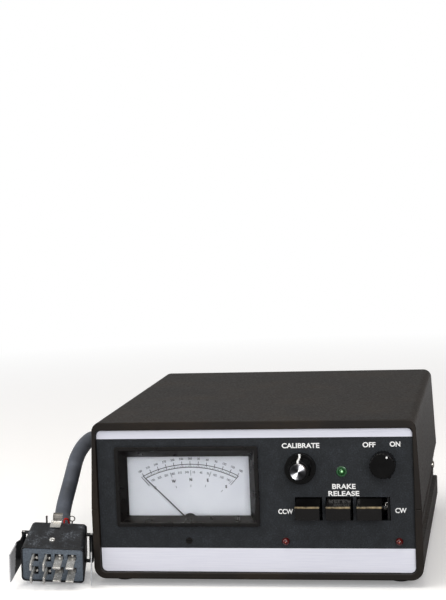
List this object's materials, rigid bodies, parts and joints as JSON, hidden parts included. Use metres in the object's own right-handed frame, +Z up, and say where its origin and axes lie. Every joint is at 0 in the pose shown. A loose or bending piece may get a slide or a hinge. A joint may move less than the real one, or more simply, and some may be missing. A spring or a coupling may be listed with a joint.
{
  "type": "antenna rotator controller",
  "caption": "Bench box with a panel direction meter, calibrate and power knobs, lever paddles, lamps and a lead that ends in a multi-pin plug.",
  "frame": {"origin": "on the surface the feet stand on, under the middle of the case", "axes": "+X to the right seen from the front, +Y from the front panel to the back, +Z up"},
  "size_m": [0.2714, 0.3528, 0.109],
  "materials": {
    "case_paint": "satin texture",
    "panel_paint": "matt",
    "trim_metal": "satin",
    "bezel_plastic": "gloss",
    "meter_plastic": "matt",
    "lens_clear": "clear",
    "dial_white": "matt print",
    "needle_black": "matt",
    "movement_metal": "cast",
    "knob_plastic": "satin",
    "knob_metal": "spun",
    "shaft_steel": "turned",
    "screw_steel": "zinc plated",
    "control_steel": "plated",
    "paddle_plastic": "satin",
    "fitting_plastic": "satin",
    "led_green": "clear tinted",
    "led_red": "clear tinted",
    "foot_rubber": "matt",
    "core_steel": "varnished",
    "coil_tape": "satin tape",
    "can_aluminium": "satin",
    "board_green": "satin",
    "brass": "plain",
    "board_parts": "satin",
    "fuse_glass": "clear",
    "plug_paint": "satin",
    "plug_plastic": "satin",
    "blade_metal": "plated",
    "clamp_steel": "plated",
    "cable_jacket": "smooth vinyl"
  },
  "bodies": {
    "controller": {"board_parts": "board_parts", "board_standoffs": "brass", "bottom_shell": "case_paint", "bottom_trim": "trim_metal", "cable_gland": "fitting_plastic", "calibrate_control": "control_steel", "capacitor_clip": "control_steel", "case_screws": "screw_steel", "chassis_screws": "screw_steel", "circuit_board": "board_green", "control_cable": "cable_jacket", "direction_leds": "led_red", "foot_screws": "screw_steel", "front_panel": "panel_paint", "fuse": "fuse_glass", "fuse_holder": "fitting_plastic", "inlet_pins": "brass", "inlet_screws": "screw_steel", "latch_pins": "screw_steel", "led_holders": "fitting_plastic", "mains_inlet": "fitting_plastic", "meter_bezel": "bezel_plastic", "meter_dial": "dial_white", "meter_housing": "meter_plastic", "meter_lens": "lens_clear", "meter_movement": "movement_metal", "meter_pivot_cover": "meter_plastic", "motor_capacitor": "can_aluminium", "paddle_axle": "shaft_steel", "paddle_frame": "control_steel", "panel_nuts": "screw_steel", "plug_blades": "blade_metal", "plug_clamp": "clamp_steel", "plug_insulator": "plug_plastic", "plug_screws": "screw_steel", "plug_shell": "plug_paint", "power_control": "control_steel", "power_led": "led_green", "rear_panel": "panel_paint", "rubber_feet": "foot_rubber", "snap_switches": "fitting_plastic", "top_cover": "case_paint", "top_trim": "trim_metal", "transformer_coil": "coil_tape", "transformer_core": "core_steel", "transformer_strap": "control_steel"},
    "needle": {"meter_needle": "needle_black"},
    "calibrate_control_knob": {"calibrate_knob": "knob_plastic", "calibrate_knob_cap": "knob_metal", "calibrate_spindle": "shaft_steel"},
    "power_switch_knob": {"power_knob": "knob_plastic", "power_spindle": "shaft_steel"},
    "left_turn_paddle": {"ccw_paddle": "paddle_plastic"},
    "brake_release_paddle": {"brake_paddle": "paddle_plastic"},
    "right_turn_paddle": {"cw_paddle": "paddle_plastic"},
    "zero_adjuster": {"zero_screw": "bezel_plastic"},
    "fuse_lid": {"fuse_cap": "fitting_plastic"},
    "left_latch": {"plug_latch_left": "clamp_steel"},
    "right_latch": {"plug_latch_right": "clamp_steel"}
  },
  "joints": [
    {"name": "needle_sweep", "type": "hinge", "parent": "controller", "child": "needle", "pos_m": [-0.0438, -0.1035, 0.0405], "axis": [0, 1, 0], "range_deg": [0, 90], "stiffness_Nm_per_rad": 0.0001},
    {"name": "calibrate_turn", "type": "hinge", "parent": "controller", "child": "calibrate_control_knob", "pos_m": [0.0313, -0.1115, 0.078], "axis": [0, 1, 0], "range_deg": [-150, 150]},
    {"name": "power_turn", "type": "hinge", "parent": "controller", "child": "power_switch_knob", "pos_m": [0.0843, -0.1115, 0.0806], "axis": [0, 1, 0], "range_deg": [-60, 0]},
    {"name": "left_turn_press", "type": "hinge", "parent": "controller", "child": "left_turn_paddle", "pos_m": [0.03545, -0.1025, 0.05], "axis": [1, 0, 0], "range_deg": [0, 8], "stiffness_Nm_per_rad": 0.2, "springref_deg": -2.86},
    {"name": "brake_release_press", "type": "hinge", "parent": "controller", "child": "brake_release_paddle", "pos_m": [0.05525, -0.1025, 0.05], "axis": [1, 0, 0], "range_deg": [0, 8], "stiffness_Nm_per_rad": 0.2, "springref_deg": -2.86},
    {"name": "right_turn_press", "type": "hinge", "parent": "controller", "child": "right_turn_paddle", "pos_m": [0.07505, -0.1025, 0.05], "axis": [1, 0, 0], "range_deg": [0, 8], "stiffness_Nm_per_rad": 0.2, "springref_deg": -2.86},
    {"name": "zero_turn", "type": "hinge", "parent": "controller", "child": "zero_adjuster", "pos_m": [-0.0438, -0.1115, 0.03], "axis": [0, 1, 0], "range_deg": [-90, 90]},
    {"name": "fuse_lid_turn", "type": "hinge", "parent": "controller", "child": "fuse_lid", "pos_m": [0.018, 0.1145, 0.04], "axis": [0, 1, 0], "range_deg": [0, 45]},
    {"name": "left_latch_squeeze", "type": "hinge", "parent": "controller", "child": "left_latch", "pos_m": [-0.16074, -0.09709, 0.02295], "axis": [0.1066, -0.2729, 0.9561], "range_deg": [0, 8], "stiffness_Nm_per_rad": 0.02, "springref_deg": -2.86},
    {"name": "right_latch_squeeze", "type": "hinge", "parent": "controller", "child": "right_latch", "pos_m": [-0.11567, -0.09098, 0.01968], "axis": [-0.1066, 0.2729, -0.9561], "range_deg": [0, 8], "stiffness_Nm_per_rad": 0.02, "springref_deg": -2.86}
  ]
}
